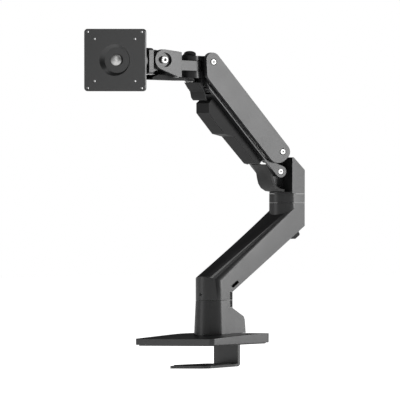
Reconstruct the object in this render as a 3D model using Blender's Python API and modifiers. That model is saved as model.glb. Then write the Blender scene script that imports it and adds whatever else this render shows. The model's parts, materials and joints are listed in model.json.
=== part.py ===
"""Desk-clamp monitor arm: swivel column, slanted lower arm, gas-sprung parallelogram upper arm,
and a swivelling, tilting, rotating 100 x 100 mm display plate.

World frame: metres, +Z up, +X forward over the desk, origin on the base swivel axis at desk level.
"""
import bmesh
import bpy
from math import asin, atan2, cos, hypot, pi, radians, sin
from mathutils import Matrix, Vector

MM = 0.001

# ---------------------------------------------------------------- driving dimensions
GAP = 0.3 * MM                 # clearance between touching pieces
ROUND = 32                     # segments of a large round
FINE = 16                      # segments of a pin or a screw
TWIST = radians(1.9)           # turns a hole's facets away from those of the piece it is in

BAR_RADIUS = 22.6 * MM         # round front of the column and of the lower arm
BAR_HALF = 22.3 * MM           # half the width across the flats
BAR_REAR = 17.7 * MM           # swivel axis to the flat rear

PAD_THICK = 1.5 * MM
PLATE_REAR = -41.0 * MM
PLATE_FRONT = 77.5 * MM
PLATE_HALF = 73.5 * MM
PLATE_CORNER = 6.0 * MM
PLATE_TOP = 19.0 * MM          # height of the level rear part
PLATE_NOSE = 13.0 * MM         # height at the front edge
PLATE_LEVEL_TO = -14.0 * MM    # where the top starts to fall

STEEL = 4.8 * MM               # clamp strap and jaw sheet
STRAP_FRONT = -27.8 * MM
STRAP_HALF = 23.1 * MM
TONGUE_HALF = 15.5 * MM
TONGUE_TOP = 22.0 * MM
JAW_OPEN = 36.0 * MM           # desk face to jaw pad, as built
JAW_FRONT = 50.5 * MM
JAW_HALF = 40.5 * MM
JAW_CORNER = 11.0 * MM
JAW_PAD = 1.2 * MM
CLAMP_SCREW_X = -22.4 * MM
CLAMP_SCREW_RADIUS = 3.0 * MM

COLUMN_TOP = 80.6 * MM
COLUMN_FLARE = 0.10            # how much wider the foot is than the top
HEEL_REAR = -42.0 * MM
HEEL_CREST = 66.0 * MM         # where the heel starts to slope down
HEEL_KNEE = 50.0 * MM
CLAMP_SEAT = 51.5 * MM
POST_RADIUS = 9.0 * MM
POST_TOP = 114.0 * MM
BUSH_WALL = 2.4 * MM

JOINT_LINE = 0.4 * MM          # visible joint between two swivelling bodies
BEND_LOW = 125.0 * MM          # height of the foremost point of the bend above the column
BEND_RISE = 11.0 * MM          # how far that bend falls towards the sides
BEND_HIGH = 237.0 * MM         # height of the foremost point of the bend under the elbow
BEND_DIP = 15.0 * MM           # how far that bend rises towards the sides
ELBOW_X = -150.0 * MM
REAR_BEND_LOW = 95.5 * MM
REAR_BEND_HIGH = 216.0 * MM
ARM_TOP = 259.3 * MM
COLLAR_TOP = 276.2 * MM
ELBOW_POST_RADIUS = 8.0 * MM

MAIN_PIN = Vector((-119.4 * MM, 0, 355.2 * MM))
LIFT_ANGLE = radians(48.93)    # upper arm above the horizontal, as built
LINK_LENGTH = 215.5 * MM
LINK_DROP = Vector((-2.0 * MM, 0, -37.1 * MM))   # from an arm pin to the link pin below it
SPRING_OFFSET = 16.0 * MM      # main pin to the spring's thrust boss
SPRING_ANGLE = radians(-75)
PLATE_ABOVE = 15.2 * MM        # upper arm side above the pin line
PLATE_BELOW = 28.2 * MM
CHANNEL_HALF = 22.2 * MM
CHANNEL_WALL = 3.3 * MM
COVER_THICK = 1.7 * MM
PIN_RADIUS = 4.0 * MM
PIN_HEAD = 5.0 * MM
LINK_HALF = 18.6 * MM
LINK_EAR = 4.3 * MM
LINK_STRIP = 3.0 * MM
LINK_BELOW = 11.0 * MM         # underside of the link below its own pin line
SPRING_LINE = -14.0 * MM       # gas spring below the arm's pin line
SPRING_RADIUS = 9.0 * MM
SPRING_START = 60.0 * MM
SPRING_END = 158.0 * MM
CABLE_HALF = 12.0 * MM         # half width of the cable cover

SWIVEL_X = 44.0 * MM           # head swivel axis
LOBE_RADIUS = 15.3 * MM
LOBE_TOP = 528.0 * MM
LOBE_BOTTOM = 487.5 * MM
BLOCK_TOP = 518.6 * MM
BLOCK_BOTTOM = 500.4 * MM
BLOCK_HALF = 15.0 * MM
TILT_X = 114.0 * MM
TILT_Z = 518.0 * MM
CHEEK_RADIUS = 18.7 * MM
CHEEK_HALF = 20.3 * MM
CHEEK_WALL = 6.0 * MM
BRACKET_REAR = 81.0 * MM
VESA_Z = 514.6 * MM
VESA_FACE = 189.4 * MM
VESA_SHEET = 2.8 * MM
VESA_WIDTH = 112.6 * MM
VESA_HEIGHT = 111.0 * MM
VESA_CORNER = 6.0 * MM
VESA_HOLE = 2.3 * MM
DISH_RADIUS = 28.4 * MM
DISH_DEPTH = 4.5 * MM
DISH_FLOOR = 22.8 * MM
HUB_RADIUS = 23.0 * MM
HUB_REAR = 149.5 * MM
FLANGE_FRONT = 147.4 * MM
FLANGE_THICK = 8.4 * MM
FLANGE_HALF = 23.5 * MM

FINISHES = {
    "black_coat": ((0.020, 0.021, 0.021), 0.42, 0.0),
    "black_plastic": ((0.012, 0.012, 0.012), 0.55, 0.0),
    "bright_steel": ((0.80, 0.80, 0.79), 0.22, 1.0),
    "dark_steel": ((0.10, 0.10, 0.10), 0.35, 1.0),
    "rubber": ((0.015, 0.015, 0.015), 0.85, 0.0),
    "nylon": ((0.75, 0.74, 0.70), 0.50, 0.0),
}

# ---------------------------------------------------------------- scene set-up
for old in list(bpy.data.objects):
    bpy.data.objects.remove(old, do_unlink=True)

parts = bpy.data.collections.new("monitor_arm")
cutters = bpy.data.collections.new("cutters")
bpy.context.scene.collection.children.link(parts)
bpy.context.scene.collection.children.link(cutters)


def finish(name):
    """The Principled material of that finish, made once."""
    if name in bpy.data.materials:
        return bpy.data.materials[name]
    colour, roughness, metallic = FINISHES[name]
    material = bpy.data.materials.new(name)
    material.use_nodes = True
    shader = material.node_tree.nodes["Principled BSDF"]
    shader.inputs["Base Color"].default_value = (*colour, 1.0)
    shader.inputs["Roughness"].default_value = roughness
    shader.inputs["Metallic"].default_value = metallic
    return material


def place(name, mesh):
    """A new object in the parts collection, at the world origin."""
    thing = bpy.data.objects.new(name, mesh)
    parts.objects.link(thing)
    return thing


def tool(thing):
    """Turns an object into a hidden Boolean operand."""
    parts.objects.unlink(thing)
    cutters.objects.link(thing)
    thing.hide_render = True
    thing.display_type = "WIRE"
    return thing


def boolean(target, other, operation):
    step = target.modifiers.new(f"{operation.lower()} {other.name}", "BOOLEAN")
    step.operation = operation
    step.solver = "EXACT"
    step.object = tool(other)


def cut(target, *others):
    for other in others:
        boolean(target, other, "DIFFERENCE")


def join(target, *others):
    for other in others:
        boolean(target, other, "UNION")


# ---------------------------------------------------------------- shapes
def box(name, low, high):
    mesh = bpy.data.meshes.new(name)
    shape = bmesh.new()
    bmesh.ops.create_cube(shape, size=1.0)
    low, high = Vector(low), Vector(high)
    size, middle = high - low, (high + low) / 2
    for vertex in shape.verts:
        vertex.co = Vector(a * b + c for a, b, c in zip(vertex.co, size, middle))
    shape.to_mesh(mesh)
    shape.free()
    return place(name, mesh)


def rod(name, start, end, radius, segments=FINE, twist=0.0):
    """A cylinder from start to end, its facets turned by twist."""
    start, end = Vector(start), Vector(end)
    mesh = bpy.data.meshes.new(name)
    shape = bmesh.new()
    bmesh.ops.create_cone(shape, cap_ends=True, segments=segments, radius1=radius,
                          radius2=radius, depth=(end - start).length)
    turn = Vector((0, 0, 1)).rotation_difference(end - start).to_matrix().to_4x4()
    shape.transform(Matrix.Translation((start + end) / 2) @ turn @ Matrix.Rotation(twist, 4, "Z"))
    shape.to_mesh(mesh)
    shape.free()
    mesh.shade_smooth()
    mesh.set_sharp_from_angle(angle=radians(35))
    return place(name, mesh)


def turned(name, profile, origin, axis, segments=FINE):
    """A turned piece: profile is (radius, height) down the outer side, top to bottom."""
    mesh = bpy.data.meshes.new(name)
    closed = profile[0][0] > 0 and profile[-1][0] > 0
    edges = [(i, i + 1) for i in range(len(profile) - 1)]
    if closed:
        edges.append((len(profile) - 1, 0))
    mesh.from_pydata([(r, 0, h) for r, h in profile], edges, [])
    thing = place(name, mesh)
    screw = thing.modifiers.new("turn", "SCREW")
    screw.axis = "Z"
    screw.angle = 2 * pi
    screw.steps = screw.render_steps = segments
    screw.use_merge_vertices = True
    screw.merge_threshold = 0.00001
    screw.use_smooth_shade = False
    turn = Vector((0, 0, 1)).rotation_difference(Vector(axis)).to_matrix().to_4x4()
    thing.matrix_world = Matrix.Translation(Vector(origin)) @ turn
    return thing


def ring(name, inner, outer, start, end, segments=FINE):
    """A bush or a washer between two points on its axis."""
    start, end = Vector(start), Vector(end)
    length = (end - start).length
    profile = [(outer, length), (outer, 0), (inner, 0), (inner, length)]
    return turned(name, profile, start, end - start, segments)


def outline(name, points, low, high, plane="XZ"):
    """A flat outline made solid between two values of the axis across its plane."""
    curve = bpy.data.curves.new(name, "CURVE")
    curve.dimensions = "2D"
    curve.fill_mode = "BOTH"
    curve.extrude = (high - low) / 2
    spline = curve.splines.new("POLY")
    spline.points.add(len(points) - 1)
    for slot, (a, b) in zip(spline.points, points):
        slot.co = (a, b, 0, 1)
    spline.use_cyclic_u = True
    drawn = bpy.data.objects.new(name + "_curve", curve)
    bpy.context.scene.collection.objects.link(drawn)
    columns = {"XZ": ((1, 0, 0), (0, 0, 1), (0, -1, 0)),
               "XY": ((1, 0, 0), (0, 1, 0), (0, 0, 1)),
               "YZ": ((0, 1, 0), (0, 0, 1), (1, 0, 0))}[plane]
    turn = Matrix(columns).transposed().to_4x4()
    across = Vector(abs(value) for value in columns[2])
    drawn.matrix_world = Matrix.Translation(across * (low + high) / 2) @ turn
    bpy.context.view_layer.update()
    ready = drawn.evaluated_get(bpy.context.evaluated_depsgraph_get())
    mesh = bpy.data.meshes.new_from_object(ready)
    mesh.transform(drawn.matrix_world)
    bpy.data.objects.remove(drawn, do_unlink=True)
    shape = bmesh.new()
    shape.from_mesh(mesh)
    bmesh.ops.remove_doubles(shape, verts=shape.verts, dist=0.000001)
    bmesh.ops.recalc_face_normals(shape, faces=shape.faces)
    bmesh.ops.dissolve_limit(shape, angle_limit=radians(0.05), verts=shape.verts,
                             edges=shape.edges)
    shape.to_mesh(mesh)
    shape.free()
    return place(name, mesh)


def arc(centre, radius, start, end, steps):
    """Points of an arc, angles in degrees."""
    angles = [radians(start + (end - start) * i / steps) for i in range(steps + 1)]
    return [(centre[0] + radius * cos(a), centre[1] + radius * sin(a)) for a in angles]


def rounded(corners, steps=6):
    """A polygon whose (x, y, radius) corners are rounded."""
    points = []
    count = len(corners)
    for i, (x, y, radius) in enumerate(corners):
        if radius == 0:
            points.append((x, y))
            continue
        here = Vector((x, y))
        back = (Vector(corners[i - 1][:2]) - here).normalized()
        ahead = (Vector(corners[(i + 1) % count][:2]) - here).normalized()
        half = back.angle(ahead) / 2
        centre = here + (back + ahead).normalized() * radius / sin(half)
        first = here + back * radius * cos(half) / sin(half) - centre
        last = here + ahead * radius * cos(half) / sin(half) - centre
        start, end = atan2(first.y, first.x), atan2(last.y, last.x)
        sweep = (end - start + pi) % (2 * pi) - pi
        for step in range(steps + 1):
            angle = start + sweep * step / steps
            points.append((centre.x + radius * cos(angle), centre.y + radius * sin(angle)))
    return points


def offset(points, distance):
    """The points of an open (x, z) line moved to its left."""
    moved = []
    for i, (x, z) in enumerate(points):
        before, after = points[max(i - 1, 0)], points[min(i + 1, len(points) - 1)]
        run = hypot(after[0] - before[0], after[1] - before[1])
        moved.append((x - distance * (after[1] - before[1]) / run,
                      z + distance * (after[0] - before[0]) / run))
    return moved


def bar(name, stations, steps=18):
    """A bar with a round front and flat sides, lofted through stations.

    A station is (arc height, arc centre x, width factor, rear x, rear height, front rise), where
    the front rise is how much higher than the arc's own height its foremost point is.
    """
    corner = asin(BAR_HALF / BAR_RADIUS)
    mesh = bpy.data.meshes.new(name)
    shape = bmesh.new()
    rings = []
    for height, centre, factor, rear, rear_height, rise in stations:
        loop = []
        for i in range(steps + 1):
            angle = -corner + 2 * corner * i / steps
            loop.append(shape.verts.new((centre + BAR_RADIUS * factor * cos(angle),
                                         BAR_RADIUS * factor * sin(angle),
                                         height + rise * cos(angle))))
        loop.append(shape.verts.new((rear, BAR_HALF * factor, rear_height)))
        loop.append(shape.verts.new((rear, -BAR_HALF * factor, rear_height)))
        rings.append(loop)
    for below, above in zip(rings, rings[1:]):
        for i in range(len(below)):
            j = (i + 1) % len(below)
            shape.faces.new((below[i], below[j], above[j], above[i]))
    shape.faces.new(rings[0][::-1])
    shape.faces.new(rings[-1])
    bmesh.ops.recalc_face_normals(shape, faces=shape.faces)
    shape.to_mesh(mesh)
    shape.free()
    return place(name, mesh)


# ---------------------------------------------------------------- places on the arms
ALONG = Vector((cos(LIFT_ANGLE), 0, sin(LIFT_ANGLE)))
ABOVE = Vector((-sin(LIFT_ANGLE), 0, cos(LIFT_ANGLE)))
LINK_PIN = MAIN_PIN + LINK_DROP
HEAD_PIN = MAIN_PIN + ALONG * LINK_LENGTH
LINK_HEAD_PIN = LINK_PIN + ALONG * LINK_LENGTH
THRUST_BOSS = MAIN_PIN + Vector((cos(SPRING_ANGLE), 0, sin(SPRING_ANGLE))) * SPRING_OFFSET


def on_arm(along, above, origin=MAIN_PIN):
    """(x, z) of a point given along and above the upper arm's pin line."""
    point = origin + ALONG * along + ABOVE * above
    return point.x, point.z


def arm_points(points, origin=MAIN_PIN):
    return [on_arm(a, b, origin) for a, b in points]


def arm_point(along, above, across=0.0, origin=MAIN_PIN):
    x, z = on_arm(along, above, origin)
    return x, across, z


UNDER_START = Vector((-BAR_REAR, 0, REAR_BEND_LOW))
UNDER_ALONG = (Vector((ELBOW_X - BAR_REAR, 0, REAR_BEND_HIGH)) - UNDER_START).normalized()
UNDER_IN = Vector((UNDER_ALONG.z, 0, -UNDER_ALONG.x))


def on_underside(along, inward):
    """(x, z) of a point along the lower arm's underside and into the arm."""
    point = UNDER_START + UNDER_ALONG * along + UNDER_IN * inward
    return point.x, point.z


def plate_top(x):
    """Height of the base plate's top, level at the rear and falling to the nose."""
    share = max(0.0, (x - PLATE_LEVEL_TO) / (PLATE_FRONT - PLATE_LEVEL_TO))
    return PLATE_TOP - (PLATE_TOP - PLATE_NOSE) * share ** 1.15


def hexagon_socket(name, centre, axis, radius, depth):
    """A cutter for the hexagon socket in a screw head, from its face inwards."""
    start = Vector(centre) + Vector(axis) * GAP
    return rod(name, start, Vector(centre) - Vector(axis) * depth, radius, 6, TWIST)


# ---------------------------------------------------------------- base and clamp
def make_base():
    sheet_low = PAD_THICK + GAP
    reach = 20 * MM
    plate = outline("base_plate", rounded([(PLATE_REAR, -PLATE_HALF, PLATE_CORNER),
                                           (PLATE_FRONT, -PLATE_HALF, PLATE_CORNER),
                                           (PLATE_FRONT, PLATE_HALF, PLATE_CORNER),
                                           (PLATE_REAR, PLATE_HALF, PLATE_CORNER)]),
                    sheet_low, PLATE_TOP, "XY")
    end = PLATE_FRONT + 5 * MM
    slope = [(PLATE_LEVEL_TO + (end - PLATE_LEVEL_TO) * i / 8) for i in range(9)]
    surface = [(x, plate_top(x)) for x in slope]
    cut(plate, outline("plate_fall", surface + [(end, PLATE_TOP + reach),
                                                (PLATE_LEVEL_TO, PLATE_TOP + reach)],
                       -PLATE_HALF - reach, PLATE_HALF + reach))
    slot_rear = STRAP_FRONT - STEEL - GAP
    slot_front = STRAP_FRONT + GAP
    nut_half = 12.3 * MM
    nut_front = CLAMP_SCREW_X + 6.2 * MM
    cut(plate, box("plate_strap_slot", (slot_rear, -STRAP_HALF - GAP, 0),
                   (slot_front, STRAP_HALF + GAP, PLATE_TOP + reach)))
    cut(plate, box("plate_nut_slot", (slot_front - MM, -nut_half, 0),
                   (nut_front, nut_half, PLATE_TOP + reach)))

    column = bar("base_column", [
        (z, 0, 1 + COLUMN_FLARE * (COLUMN_TOP - z) / (COLUMN_TOP - PLATE_TOP), rear, z, 0)
        for z, rear in ((10 * MM, HEEL_REAR - MM), (44 * MM, HEEL_REAR + 0.6 * MM),
                        (HEEL_KNEE, HEEL_REAR + 2.5 * MM), (HEEL_CREST, -BAR_REAR),
                        (COLUMN_TOP, -BAR_REAR))])
    below = [(x, plate_top(x) + GAP) for x in reversed(slope)]
    cut(column, outline("column_foot", [(HEEL_REAR - reach, 0), (end, 0)] + below +
                        [(HEEL_REAR - reach, PLATE_TOP + GAP)],
                        -PLATE_HALF, PLATE_HALF))
    cavity_top = CLAMP_SEAT - 3.5 * MM
    cut(column, box("column_tongue_slot", (slot_rear, -TONGUE_HALF - GAP, 0),
                    (slot_front, TONGUE_HALF + GAP, cavity_top)))
    cut(column, box("column_nut_slot", (slot_front - MM, -nut_half, 0),
                    (nut_front, nut_half, cavity_top)))
    cut(column, rod("column_screw_hole", (CLAMP_SCREW_X, 0, cavity_top - MM),
                    (CLAMP_SCREW_X, 0, CLAMP_SEAT + MM), CLAMP_SCREW_RADIUS + GAP))
    cut(column, rod("column_screw_seat", (CLAMP_SCREW_X, 0, CLAMP_SEAT),
                    (CLAMP_SCREW_X, 0, 70 * MM), 5.4 * MM))
    cut(column, rod("column_post_bore", (0, 0, 40 * MM), (0, 0, COLUMN_TOP + MM),
                    POST_RADIUS + GAP))
    cut(column, rod("column_washer_seat", (0, 0, 79.6 * MM), (0, 0, COLUMN_TOP + MM),
                    12.8 * MM, ROUND))
    cover_front = -BAR_REAR + 4.6 * MM
    cover_low = HEEL_CREST + 1.2 * MM
    cut(column, box("column_cover_notch", (-BAR_REAR - MM, -30 * MM, cover_low),
                    (cover_front, 30 * MM, COLUMN_TOP + MM)))
    box("column_rear_cover", (-BAR_REAR - 0.4 * MM, -BAR_HALF, cover_low + GAP),
        (cover_front - GAP, BAR_HALF, COLUMN_TOP))

    head_top = sheet_low + 5 * MM
    for label, side in (("left", 1), ("right", -1)):
        x, y = 12.5 * MM, side * 14.5 * MM
        screw = turned(f"column_screw_{label}", [
            (0, 32 * MM), (3 * MM, 32 * MM), (3 * MM, head_top), (5 * MM, head_top),
            (5 * MM, sheet_low + 0.2 * MM), (0, sheet_low + 0.2 * MM)], (x, y, 0), (0, 0, 1), 16)
        cut(screw, hexagon_socket(f"column_screw_{label}_socket", (x, y, sheet_low + 0.2 * MM),
                                  (0, 0, -1), 2.6 * MM, 2.5 * MM))
        cut(plate, rod(f"plate_hole_{label}", (x, y, 0), (x, y, 40 * MM), 3.3 * MM, 16))
        cut(plate, rod(f"plate_seat_{label}", (x, y, 0), (x, y, head_top + GAP), 5.3 * MM, 16))
        cut(column, rod(f"column_hole_{label}", (x, y, 0), (x, y, 32.3 * MM), 3.3 * MM, 16))

    inset = 3 * MM
    pad = outline("desk_pad", rounded([(PLATE_REAR + inset, -PLATE_HALF + inset, PLATE_CORNER),
                                       (PLATE_FRONT - inset, -PLATE_HALF + inset, PLATE_CORNER),
                                       (PLATE_FRONT - inset, PLATE_HALF - inset, PLATE_CORNER),
                                       (PLATE_REAR + inset, PLATE_HALF - inset, PLATE_CORNER)]),
                  0, PAD_THICK, "XY")
    cut(pad, box("pad_slot", (PLATE_REAR - inset, -STRAP_HALF - MM, -MM),
                 (nut_front + MM, STRAP_HALF + MM, 5 * MM)))

    rod("swivel_post", (0, 0, 40 * MM + GAP), (0, 0, POST_TOP), POST_RADIUS, ROUND)
    ring("screw_retaining_ring", CLAMP_SCREW_RADIUS + GAP, 5 * MM,
         (CLAMP_SCREW_X, 0, cavity_top - 1.8 * MM), (CLAMP_SCREW_X, 0, cavity_top - GAP))


def make_clamp():
    jaw_top = -JAW_OPEN - JAW_PAD - GAP
    jaw_low = jaw_top - STEEL
    strap_rear = STRAP_FRONT - STEEL
    plan = rounded([(strap_rear, -STRAP_HALF, 0), (STRAP_FRONT + 6 * MM, -STRAP_HALF, 4 * MM),
                    (JAW_FRONT, -JAW_HALF, JAW_CORNER), (JAW_FRONT, JAW_HALF, JAW_CORNER),
                    (STRAP_FRONT + 6 * MM, STRAP_HALF, 4 * MM), (strap_rear, STRAP_HALF, 0)])
    jaw = outline("clamp_jaw", plan, jaw_low, jaw_top, "XY")
    bend = 6 * MM
    profile = ([(STRAP_FRONT + 8 * MM, jaw_low), (STRAP_FRONT + 8 * MM, jaw_top)] +
               [(STRAP_FRONT, jaw_top), (STRAP_FRONT, MM), (strap_rear, MM)] +
               arc((strap_rear + bend, jaw_low + bend), bend, 180, 270, 6))
    join(jaw, outline("jaw_strap", profile, -STRAP_HALF, STRAP_HALF))
    join(jaw, box("jaw_tongue", (strap_rear, -TONGUE_HALF, 0),
                  (STRAP_FRONT, TONGUE_HALF, TONGUE_TOP)))
    shelf_front = CLAMP_SCREW_X + 5.6 * MM
    shelf_half = 11.5 * MM
    join(jaw, box("jaw_shelf", (STRAP_FRONT - MM, -shelf_half, TONGUE_TOP - STEEL),
                  (shelf_front, shelf_half, TONGUE_TOP)))
    corner = box("jaw_heel_corner", (strap_rear - MM, -60 * MM, jaw_low - MM),
                 (strap_rear + bend, 60 * MM, jaw_low + bend))
    cut(corner, rod("jaw_heel_round", (strap_rear + bend, -70 * MM, jaw_low + bend),
                    (strap_rear + bend, 70 * MM, jaw_low + bend), bend, ROUND))
    cut(jaw, corner)
    cut(jaw, rod("jaw_screw_hole", (CLAMP_SCREW_X, 0, 0), (CLAMP_SCREW_X, 0, 30 * MM),
                 CLAMP_SCREW_RADIUS + GAP))
    inset = 4 * MM
    outline("jaw_pad", rounded([(STRAP_FRONT + 14 * MM, -24 * MM, 4 * MM),
                                (JAW_FRONT - inset, -JAW_HALF + inset + 2 * MM, 8 * MM),
                                (JAW_FRONT - inset, JAW_HALF - inset - 2 * MM, 8 * MM),
                                (STRAP_FRONT + 14 * MM, 24 * MM, 4 * MM)]),
            jaw_top + GAP, jaw_top + GAP + JAW_PAD, "XY")
    nut_low = TONGUE_TOP - STEEL - GAP - 5 * MM
    nut = rod("lift_nut", (CLAMP_SCREW_X, 0, nut_low), (CLAMP_SCREW_X, 0, nut_low + 5 * MM),
              5 * MM, 6)
    cut(nut, rod("lift_nut_bore", (CLAMP_SCREW_X, 0, nut_low - MM),
                 (CLAMP_SCREW_X, 0, nut_low + 6 * MM), CLAMP_SCREW_RADIUS + 0.1 * MM))
    head_low = CLAMP_SEAT + GAP
    radius = CLAMP_SCREW_RADIUS
    screw = turned("clamp_screw", [(0, head_low + 6 * MM), (5 * MM, head_low + 6 * MM),
                                   (5 * MM, head_low), (radius, head_low), (radius, 0.6 * MM),
                                   (0, 0.6 * MM)], (CLAMP_SCREW_X, 0, 0), (0, 0, 1))
    cut(screw, hexagon_socket("clamp_screw_socket", (CLAMP_SCREW_X, 0, head_low + 6 * MM),
                              (0, 0, 1), 2.9 * MM, 3.5 * MM))


# ---------------------------------------------------------------- lower arm
def make_lower_arm():
    bottom = COLUMN_TOP + JOINT_LINE
    rear = ELBOW_X - BAR_REAR
    arm = bar("lower_arm", [
        (bottom, 0, 1, -BAR_REAR, bottom, 0),
        (BEND_LOW - BEND_RISE, 0, 1, -BAR_REAR, REAR_BEND_LOW, BEND_RISE),
        (BEND_HIGH + BEND_DIP, ELBOW_X, 1, rear, REAR_BEND_HIGH, -BEND_DIP),
        (ARM_TOP, ELBOW_X, 1, rear, ARM_TOP, 0)])
    bush_outer = POST_RADIUS + GAP + BUSH_WALL
    cut(arm, rod("arm_post_bore", (0, 0, bottom - MM), (0, 0, POST_TOP + GAP),
                 bush_outer + GAP, ROUND))
    cut(arm, rod("arm_washer_seat", (0, 0, bottom - MM), (0, 0, bottom + 1.0 * MM),
                 12.8 * MM, ROUND))
    ring("swivel_bush", POST_RADIUS + GAP, bush_outer, (0, 0, bottom + 1.4 * MM),
         (0, 0, POST_TOP - 2 * MM))
    ring("swivel_thrust_washer", POST_RADIUS + GAP, 12.4 * MM, (0, 0, COLUMN_TOP - 0.7 * MM),
         (0, 0, bottom + 0.7 * MM))

    screw_z = 92 * MM
    tip = bush_outer + GAP
    set_screw = rod("swivel_set_screw", (tip, 0, screw_z), (BAR_RADIUS - 1.6 * MM, 0, screw_z),
                    2.4 * MM)
    cut(set_screw, hexagon_socket("set_screw_socket", (BAR_RADIUS - 1.6 * MM, 0, screw_z),
                                  (1, 0, 0), 1.3 * MM, 3 * MM))
    cut(arm, rod("arm_set_screw_hole", (tip - MM, 0, screw_z), (30 * MM, 0, screw_z), 2.7 * MM))

    cover_front = -BAR_REAR + 4.6 * MM
    cover_top = 96 * MM
    cut(arm, box("arm_cover_notch", (-BAR_REAR - MM, -30 * MM, bottom - MM),
                 (cover_front, 30 * MM, cover_top)))
    outline("arm_rear_cover", [(-BAR_REAR - 0.4 * MM, bottom), (cover_front - GAP, bottom),
                               (cover_front - GAP, cover_top - GAP),
                               (-BAR_REAR - 0.4 * MM, cover_top - GAP)],
            -BAR_HALF, BAR_HALF)

    start, end = 28 * MM, 158 * MM
    depth, half = 15 * MM, 12 * MM
    cut(arm, outline("arm_cable_channel",
                     [on_underside(start, -MM), on_underside(end, -MM),
                      on_underside(end, depth), on_underside(start, depth)], -half, half))
    lid = outline("lower_cable_cover",
                  [on_underside(start + GAP, 0), on_underside(end - GAP, 0),
                   on_underside(end - GAP, 2.4 * MM), on_underside(start + GAP, 2.4 * MM)],
                  -half + GAP, half - GAP)
    for i, along in enumerate((44 * MM, 93 * MM, 142 * MM)):
        for side in (-1, 1):
            inner, outer = sorted((side * (half - 2.5 * MM), side * (half - 2 * GAP)))
            join(lid, outline(f"lid_clip_{i}_{side}",
                              [on_underside(along, MM), on_underside(along + 8 * MM, MM),
                               on_underside(along + 8 * MM, 8 * MM),
                               on_underside(along, 8 * MM)], inner, outer))
    slot = [on_underside(a, b) for a, b in
            arc((19 * MM, 7.8 * MM), 2.8 * MM, -90, 90, 8) +
            arc((8 * MM, 7.8 * MM), 2.8 * MM, 90, 270, 8)]
    cut(arm, outline("arm_cable_slot", slot, -30 * MM, 30 * MM))

    foot = [on_underside(a, b) for a, b in
            rounded([(161 * MM, -GAP, 0), (179 * MM, -GAP, 0), (177 * MM, -8.8 * MM, 3 * MM),
                     (163 * MM, -8.8 * MM, 3 * MM)])]
    clip = outline("lower_cable_clip", foot, -19 * MM, 19 * MM)
    cut(clip, outline("clip_tunnel", [on_underside(a, b) for a, b in
                                      ((150 * MM, 0), (190 * MM, 0), (190 * MM, -6.5 * MM),
                                       (150 * MM, -6.5 * MM))], -16 * MM, 16 * MM))

    collar = bar("elbow_collar", [(z, ELBOW_X, 1, rear, z, 0)
                                  for z in (ARM_TOP + GAP, COLLAR_TOP)])
    bush = ELBOW_POST_RADIUS + GAP + BUSH_WALL
    post_low = 228 * MM
    cut(arm, rod("arm_elbow_bore", (ELBOW_X, 0, post_low - GAP), (ELBOW_X, 0, ARM_TOP + MM),
                 bush + GAP, ROUND))
    cut(collar, rod("collar_bore", (ELBOW_X, 0, ARM_TOP - MM), (ELBOW_X, 0, COLLAR_TOP + MM),
                    bush + GAP, ROUND))
    cut(collar, rod("collar_washer_seat", (ELBOW_X, 0, COLLAR_TOP - MM),
                    (ELBOW_X, 0, COLLAR_TOP + MM), 15.5 * MM, ROUND))
    ring("elbow_bush", ELBOW_POST_RADIUS + GAP, bush, (ELBOW_X, 0, post_low + 8 * MM),
         (ELBOW_X, 0, COLLAR_TOP - 1.4 * MM))


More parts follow.
